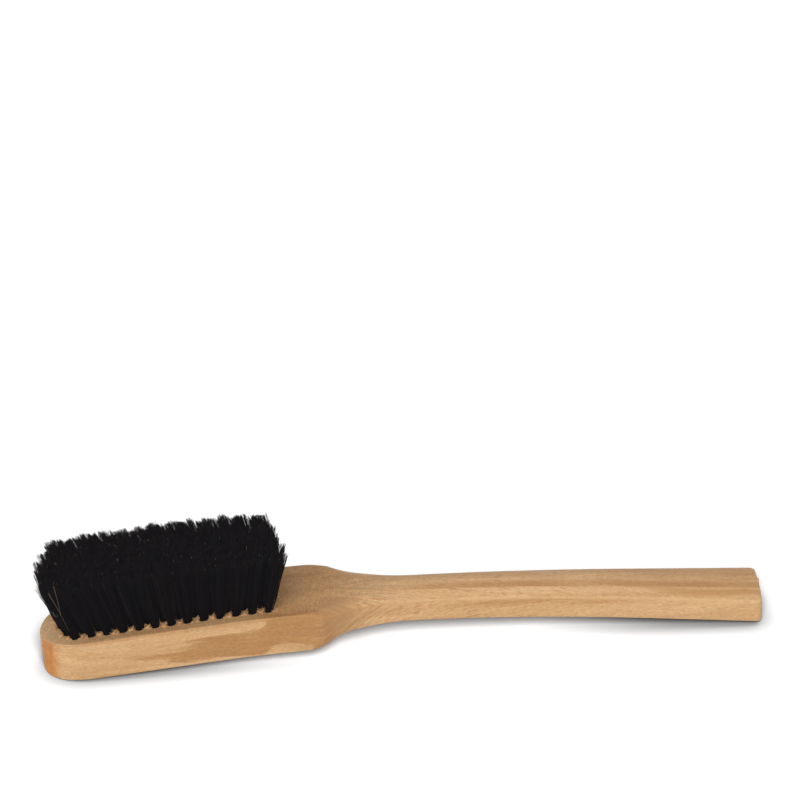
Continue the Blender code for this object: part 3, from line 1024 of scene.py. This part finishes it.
def hair_template():
    """One straight three-sided hair from a cone: station and angle of its points, and faces."""
    deselect_all()
    bpy.ops.mesh.primitive_cone_add(
        vertices=3, radius1=1.0, radius2=0.5, depth=1.0, location=(0.0, 0.0, 0.5)
    )
    obj = bpy.context.active_object
    bpy.ops.object.transform_apply(location=True)
    bpy.ops.object.mode_set(mode="EDIT")
    for share in HAIR_STATIONS[1:-1]:
        bpy.ops.mesh.select_all(action="SELECT")
        bpy.ops.mesh.bisect(plane_co=(0.0, 0.0, share), plane_no=(0.0, 0.0, 1.0))
    bpy.ops.object.mode_set(mode="OBJECT")
    heights = np.array([v.co.z for v in obj.data.vertices])
    station = np.abs(heights[:, None] - np.array(HAIR_STATIONS)).argmin(axis=1)
    angle = np.array([math.atan2(v.co.y, v.co.x) for v in obj.data.vertices])
    obj.data.calc_loop_triangles()
    faces = np.array([t.vertices[:] for t in obj.data.loop_triangles])
    bpy.data.objects.remove(obj, do_unlink=True)
    return station, angle, faces


def plant(name, template, paths, radii, shades, flatness=1.0):
    """Copies the template hair along every path into one mesh.

    paths is hairs by stations by 3, radii is hairs by stations, and shades has one value a hair.
    """
    station, angle, faces = template
    count = len(paths)
    along = np.gradient(paths, axis=1)
    along /= np.linalg.norm(along, axis=2, keepdims=True)
    across = np.cross(along, (0.0, 1.0, 0.0))
    across /= np.linalg.norm(across, axis=2, keepdims=True)
    third = np.cross(along, across)
    spin = shades[:, None] * HAIR_TWIST * flatness + angle[None, :]
    width = radii[:, station]
    points = paths[:, station] + width[..., None] * (
        flatness * np.cos(spin)[..., None] * across[:, station]
        + np.sin(spin)[..., None] * third[:, station]
    )
    points = points.reshape(-1, 3)
    corners = (faces[None] + np.arange(count)[:, None, None] * len(station)).reshape(-1)
    mesh = bpy.data.meshes.new(name)
    mesh.vertices.add(len(points))
    mesh.vertices.foreach_set("co", points.astype(np.float32).ravel())
    mesh.loops.add(len(corners))
    mesh.loops.foreach_set("vertex_index", corners.astype(np.int32))
    mesh.polygons.add(len(corners) // 3)
    mesh.polygons.foreach_set("loop_start", np.arange(0, len(corners), 3, dtype=np.int32))
    mesh.update(calc_edges=True)
    store(mesh, "shade", np.repeat(shades, len(station)))
    store(mesh, "along", np.tile(np.array(HAIR_STATIONS)[station], count))
    mesh.shade_smooth()
    obj = bpy.data.objects.new(name, mesh)
    bpy.context.scene.collection.objects.link(obj)
    return obj


def disc(rng, count):
    """Evenly spread random points in the unit disc."""
    radius = np.sqrt(rng.uniform(0.0, 1.0, count))
    turn = rng.uniform(0.0, 2.0 * math.pi, count)
    return np.stack([radius * np.cos(turn), radius * np.sin(turn)], axis=1)


def trimmed_height(size, x, y):
    """Height of the trimmed tips, lower where one corner has worn down."""
    worn = smooth_step(WORN_CORNER_LENGTH, x) * smooth_step(WORN_CORNER_WIDTH, y)
    return FRONT_HEIGHT + HEAD_SLOPE * x + size.trim_height - WORN_CORNER_DEPTH * worn


def tuft_paths(size, rng, root, tip, rise):
    """Paths of the hairs of one tuft, gathered into locks at their tips."""
    count = size.hairs
    turn = np.arange(size.locks) * GOLDEN_ANGLE + rng.uniform(0.0, 6.3)
    reach = np.sqrt((np.arange(size.locks) + 0.5) / size.locks)
    locks = np.stack([reach * np.cos(turn), reach * np.sin(turn)], axis=1)
    locks += rng.normal(0.0, LOCK_SCATTER, locks.shape)
    lock_rise = rng.normal(0.0, LOCK_RISE, size.locks) - LOCK_DOME * reach**2 + rise
    member = rng.integers(0, size.locks, count)
    inside = disc(rng, count)
    root_place = size.root_radius * (ROOT_SHARES[0] * locks[member] + ROOT_SHARES[1] * inside)
    tip_place = size.tip_radius * TIP_SHARE * locks[member] + LOCK_RADIUS * inside
    tip_place += rng.normal(0.0, TIP_SCATTER, tip_place.shape)
    loose = rng.uniform(0.0, 1.0, count) > LOOSE_ABOVE
    tip_place[loose] *= LOOSE_REACH
    tip_rise = lock_rise[member] + rng.normal(0.0, TIP_SCATTER, count)
    tip_rise -= SHORTEST_HAIR * rng.uniform(0.0, 1.0, count) ** SHORT_HAIR_RARITY
    bow = rng.normal(0.0, HAIR_BOW, (count, 2))
    start = top_height(root[0]) - ROOT_DEPTH
    end = trimmed_height(size, tip[0], tip[1]) + tip_rise + HEAD_SLOPE * tip_place[:, 0]
    paths = np.empty((count, len(HAIR_STATIONS), 3))
    for k, share in enumerate(HAIR_STATIONS):
        lean = blend(share, share * share, LATE_LEAN)
        for axis in (0, 1):
            middle = blend(root[axis], tip[axis], lean)
            around = blend(root_place[:, axis], tip_place[:, axis], TUFT_SPREAD[k])
            paths[:, k, axis] = middle + around + bow[:, axis] * math.sin(math.pi * share)
        paths[:, k, 2] = blend(start, end, share)
    paths[:, :, 0] += FRONT_X
    return paths


def tuft_rise(rng, row, place):
    """How far one tuft stands above or below the others."""
    rise = rng.normal(0.0, TUFT_SCATTER)
    if row == len(ROW_OFFSETS) - 1:
        rise += MILLIMETRE * FAR_ROW_RISE[place]
    return rise


def kept_inside(paths):
    """Draws in hairs whose tips stand out past the CAD model's box by more than a small share."""
    share = np.array(HAIR_STATIONS)
    for axis in (1, 2):
        margin = HAIR_MARGIN * (CAD_HIGH[axis] - CAD_LOW[axis])
        over = np.maximum(paths[:, -1, axis] - CAD_HIGH[axis] - margin, 0.0)
        under = np.maximum(CAD_LOW[axis] - margin - paths[:, -1, axis], 0.0)
        paths[:, :, axis] += (under - over)[:, None] * share
    return paths


class CLOTHESBRUSH_OT_tufts(bpy.types.Operator):
    """Plant the six rows of horsehair tufts"""

    bl_idname = "clothes_brush.tufts"
    bl_label = "Rows of Tufts"
    bl_options = {"REGISTER", "UNDO"}

    def execute(self, context):
        size = context.scene.clothes_brush_hair
        template = hair_template()
        material = hair_material(size)
        taper = np.linspace(*HAIR_TAPER, len(HAIR_STATIONS))
        for row in range(len(ROW_OFFSETS)):
            rng = np.random.default_rng(FIRST_HAIR_SEED + row)
            tufts = [tuft[1:] for tuft in tuft_places() if tuft[0] == row]
            paths = np.concatenate([
                tuft_paths(size, rng, root, tip, tuft_rise(rng, row, place))
                for place, root, tip in tufts
            ])
            thick = size.hair_radius * rng.uniform(*HAIR_THICKNESS, len(paths))
            shades = rng.uniform(0.0, 1.0, len(paths))
            name = f"horsehair_row_{row + 1}"
            piece = plant(name, template, kept_inside(paths), thick[:, None] * taper, shades)
            settle(piece, material, "horsehair", f"bristle_row_{row + 1}")
        return {"FINISHED"}


def curved_paths(starts, middles, ends):
    """Paths that leave the start, bend towards the middle point and stop at the end."""
    share = np.array(HAIR_STATIONS)[None, :, None]
    starts, middles, ends = (np.asarray(p, float)[:, None, :] for p in (starts, middles, ends))
    return (1 - share) ** 2 * starts + 2 * share * (1 - share) * middles + share**2 * ends


class CLOTHESBRUSH_OT_strays(bpy.types.Operator):
    """Add the loose hairs that stand off the front, the end and the top"""

    bl_idname = "clothes_brush.strays"
    bl_label = "Stray Hairs"
    bl_options = {"REGISTER", "UNDO"}

    def execute(self, context):
        size = context.scene.clothes_brush_hair
        rng = np.random.default_rng(STRAY_SEED)
        starts, middles, ends, shades = [], [], [], []
        for start, middle, end, spread, count, pale in STRAY_WISPS:
            for _ in range(count):
                fan = rng.normal(0.0, spread, 3)
                starts.append(np.array(start) + STRAY_FAN[0] * fan)
                middles.append(np.array(middle) + STRAY_FAN[1] * fan)
                ends.append(np.array(end) + STRAY_FAN[2] * fan)
                shades.append(1.0 if rng.uniform() < pale else rng.uniform(*DARK_SHADES))
        paths = kept_inside(curved_paths(starts, middles, ends))
        paths[:, :, 0] += FRONT_X
        taper = np.linspace(*STRAY_TAPER, len(HAIR_STATIONS))
        radii = np.full(len(paths), size.hair_radius * STRAY_THICKNESS)[:, None] * taper
        piece = plant("stray_hairs", hair_template(), paths, radii, np.array(shades))
        settle(piece, hair_material(size), "horsehair")
        return {"FINISHED"}


# Torn fibres


def splinters_of(rng, size, root):
    """Start, middle and end of the fibres that the drill lifted at one hole."""
    found = []
    for side, count, tallest in SPLINTERS:
        for _ in range(count):
            turn = rng.uniform(*SPLINTER_TURN)
            rim = np.array((side * math.cos(turn), math.sin(turn)))
            reach = size.hole_radius + rng.uniform(*SPLINTER_REACH)
            rise = tallest * rng.uniform(*SPLINTER_RISE)
            long = rng.uniform(*SPLINTER_LENGTH)
            x, y = root[0] + rim[0] * reach, root[1] + rim[1] * reach
            ground = top_height(x)
            hinge = (x + side * long, y, ground - SPLINTER_DEPTH)
            knee = (x + side * SPLINTER_BEND[0] * long, y, ground + SPLINTER_BEND[1] * rise)
            tip = (x, y + rng.normal(0.0, SPLINTER_SCATTER), ground + rise)
            found.append((hinge, knee, tip))
    return found


class CLOTHESBRUSH_OT_splinters(bpy.types.Operator):
    """Add the torn fibres that stand up round the drilled holes"""

    bl_idname = "clothes_brush.splinters"
    bl_label = "Torn Fibres"
    bl_options = {"REGISTER", "UNDO"}

    def execute(self, context):
        size = context.scene.clothes_brush_wood
        rng = np.random.default_rng(SPLINTER_SEED)
        found = [s for _, _, root, _ in tuft_places() for s in splinters_of(rng, size, root)]
        paths = curved_paths(*zip(*found))
        paths[:, :, 0] += FRONT_X
        wide = rng.uniform(*SPLINTER_WIDTH, len(paths))
        radii = wide[:, None] * np.array(SPLINTER_TAPER)
        shades = rng.uniform(0.0, 1.0, len(paths))
        piece = plant("torn_fibres", hair_template(), paths, radii, shades, SPLINTER_FLATNESS)
        settle(piece, fibre_material_with_painted_light(size), "beech")
        return {"FINISHED"}


# Stage


def look_from(turn, rise, roll):
    """Rotation of the camera, and the direction from the brush to it."""
    turn, rise, roll = (math.radians(angle) for angle in (turn, rise, roll))
    level = Vector((-math.sin(turn), -math.cos(turn), 0.0))
    back = level * math.cos(rise) + Vector((0.0, 0.0, math.sin(rise)))
    right = Vector((math.cos(turn), -math.sin(turn), 0.0))
    up = back.cross(right)
    across = right * math.cos(roll) - up * math.sin(roll)
    upright = right * math.sin(roll) + up * math.cos(roll)
    return Matrix((across, upright, back)).transposed(), back


def add_camera(stage):
    rotation, back = look_from(VIEW_TURN, VIEW_RISE, VIEW_ROLL)
    place = VIEW_TARGET + back * stage.distance
    bpy.ops.object.camera_add(location=place, rotation=rotation.to_euler())
    camera = bpy.context.active_object
    camera.data.lens = stage.lens
    camera.data.sensor_width = SENSOR_WIDTH
    camera.data.shift_x, camera.data.shift_y = LENS_SHIFT
    camera.data.clip_start = NEAREST_SEEN
    bpy.context.scene.camera = camera


def add_front_light(stage):
    """A broad soft lamp, aimed at the brush."""
    back = Vector(FRONT_LIGHT_DIRECTION).normalized()
    turn = back.to_track_quat("Z", "Y").to_euler()
    place = VIEW_TARGET + back * FRONT_LIGHT_DISTANCE
    bpy.ops.object.light_add(type="AREA", location=place, rotation=turn)
    light = bpy.context.active_object
    light.name = "front_light"
    light.data.shape = "RECTANGLE"
    light.data.size, light.data.size_y = FRONT_LIGHT_SIZE
    light.data.energy = stage.key_power


def shadow_light_place(stage):
    """Where the floor's lamp stands, as far from the brush as the camera."""
    turn, rise = VIEW_TURN - stage.shadow_turn, VIEW_RISE + stage.shadow_rise
    return VIEW_TARGET + look_from(turn, rise, 0.0)[1] * stage.distance


def add_shadow_light(stage, floor):
    """A soft lamp for the floor alone, from just above the viewpoint, which the wood shades."""
    bpy.ops.object.light_add(type="POINT", location=shadow_light_place(stage))
    lamp = bpy.context.active_object
    lamp.name = "floor_light"
    white_at_middle = 4.0 * math.pi**2 * stage.distance**3 / (FLOOR_TONE * lamp.location.z)
    lamp.data.energy = LAMP_SHARE * white_at_middle
    lamp.data.shadow_soft_size = stage.shadow_softness
    lit = bpy.data.collections.new("lit_by_floor_light")
    lit.objects.link(floor)
    lamp.light_linking.receiver_collection = lit
    shading = bpy.data.collections.new("shades_the_floor")
    for obj in bpy.context.scene.objects:
        if obj.name.startswith("beech"):
            shading.objects.link(obj)
    lamp.light_linking.blocker_collection = shading


def seen_directly(tree):
    """1 for rays from the camera, also by way of a mirror or through glass."""
    rays = add(tree, "ShaderNodeLightPath")
    seen = math_node(tree, "MAXIMUM", rays.outputs["Is Camera Ray"], rays.outputs["Is Glossy Ray"])
    return math_node(tree, "MAXIMUM", seen, rays.outputs["Is Transmission Ray"])


def even_tone(tree, stage):
    """The floor's tone, higher far from its lamp, so that the open floor looks evenly white."""
    place = add(tree, "ShaderNodeTexCoord").outputs["Object"]
    lamp = tuple(shadow_light_place(stage))
    away = add(tree, "ShaderNodeVectorMath", {0: place, 1: lamp}, operation="DISTANCE")
    times = math_node(tree, "DIVIDE", away.outputs["Value"], stage.distance)
    tone = product(tree, math_node(tree, "POWER", times, 3.0), FLOOR_TONE)
    return math_node(tree, "MINIMUM", tone, FLOOR_TONE_LIMIT)


def add_floor(stage):
    """A plain floor, seen as white with a soft grey shadow close to the brush.

    The brush itself gets only an even light from it, of the strength floor_shade.
    """
    deselect_all()
    bpy.ops.mesh.primitive_plane_add(size=FLOOR_SIZE, location=(0.0, 0.0, 0.0))
    floor = bpy.context.active_object
    floor.name = "floor"
    material, tree, shader = new_material("white_floor")
    tree.nodes.remove(shader)
    bounced = add(tree, "ShaderNodeEmission", {"Strength": stage.floor_shade})
    near = add(tree, "ShaderNodeAmbientOcclusion", {"Distance": stage.shadow_reach}, samples=16)
    shade = add(tree, "ShaderNodeMapRange", {"Value": near.outputs["AO"], **CONTACT_SHADE})
    tone = product(tree, shade.outputs["Result"], even_tone(tree, stage))
    grey = add(tree, "ShaderNodeCombineColor", {i: tone for i in range(3)})
    white = add(tree, "ShaderNodeBsdfDiffuse", {"Color": grey.outputs["Color"]})
    place = add(tree, "ShaderNodeTexCoord").outputs["Object"]
    away = add(tree, "ShaderNodeVectorMath", {0: place}, operation="LENGTH")
    far_off = ramp(tree, away.outputs["Value"], *WHITE_FLOOR_RUN)
    glow = math_node(tree, "MULTIPLY_ADD", shade.outputs["Result"], FLOOR_GLOW, far_off)
    glow = add(tree, "ShaderNodeEmission", {"Strength": glow})
    lit = add(tree, "ShaderNodeAddShader", {0: white.outputs[0], 1: glow.outputs[0]})
    seen = add(
        tree, "ShaderNodeMixShader",
        {0: seen_directly(tree), 1: bounced.outputs[0], 2: lit.outputs[0]},
    )
    tree.links.new(seen.outputs[0], tree.nodes["Material Output"].inputs["Surface"])
    floor.data.materials.append(material)
    return floor


def set_world(stage):
    """A white background, which lights the brush with less than its full strength."""
    world = bpy.data.worlds.new("even_sky")
    world.use_nodes = True
    tree = world.node_tree
    background = tree.nodes["Background"]
    strength = math_node(tree, "MULTIPLY_ADD", seen_directly(tree), 1.0 - stage.sky, stage.sky)
    tree.links.new(strength, background.inputs["Strength"])
    background.inputs["Color"].default_value = (1.0, 1.0, 1.0, 1.0)
    bpy.context.scene.world = world


class CLOTHESBRUSH_OT_stage(bpy.types.Operator):
    """Set up the camera, the white floor and the soft light"""

    bl_idname = "clothes_brush.stage"
    bl_label = "Stage"
    bl_options = {"REGISTER", "UNDO"}

    def execute(self, context):
        stage = context.scene.clothes_brush_stage
        deselect_all()
        add_camera(stage)
        add_front_light(stage)
        add_shadow_light(stage, add_floor(stage))
        set_world(stage)
        context.scene.view_settings.view_transform = "Standard"
        return {"FINISHED"}


# Panel


OPERATORS = (
    CLOTHESBRUSH_OT_wood,
    CLOTHESBRUSH_OT_splinters,
    CLOTHESBRUSH_OT_tufts,
    CLOTHESBRUSH_OT_strays,
    CLOTHESBRUSH_OT_stage,
)


class VIEW3D_PT_clothes_brush(bpy.types.Panel):
    """Steps that make the clothes brush, and its sizes and colours"""

    bl_label = "Clothes Brush"
    bl_idname = "VIEW3D_PT_clothes_brush"
    bl_space_type = "VIEW_3D"
    bl_region_type = "UI"
    bl_category = "Clothes Brush"

    def draw(self, context):
        layout = self.layout
        for operator in OPERATORS:
            layout.operator(operator.bl_idname)
        for group in SETTINGS:
            settings = getattr(context.scene, group)
            box = layout.box()
            for name in settings.__annotations__:
                box.prop(settings, name)


SETTINGS = {
    "clothes_brush_wood": ClothesBrushWood,
    "clothes_brush_hair": ClothesBrushHair,
    "clothes_brush_stage": ClothesBrushStage,
}
CLASSES = (*SETTINGS.values(), *OPERATORS, VIEW3D_PT_clothes_brush)


def register():
    for cls in CLASSES:
        bpy.utils.register_class(cls)
    for name, group in SETTINGS.items():
        setattr(bpy.types.Scene, name, PointerProperty(type=group))


def unregister():
    for name in SETTINGS:
        delattr(bpy.types.Scene, name)
    for cls in reversed(CLASSES):
        bpy.utils.unregister_class(cls)


def main():
    register()
    bpy.ops.clothes_brush.wood()
    bpy.ops.clothes_brush.splinters()
    bpy.ops.clothes_brush.tufts()
    bpy.ops.clothes_brush.strays()
    bpy.ops.clothes_brush.stage()


if __name__ == "__main__":
    main()
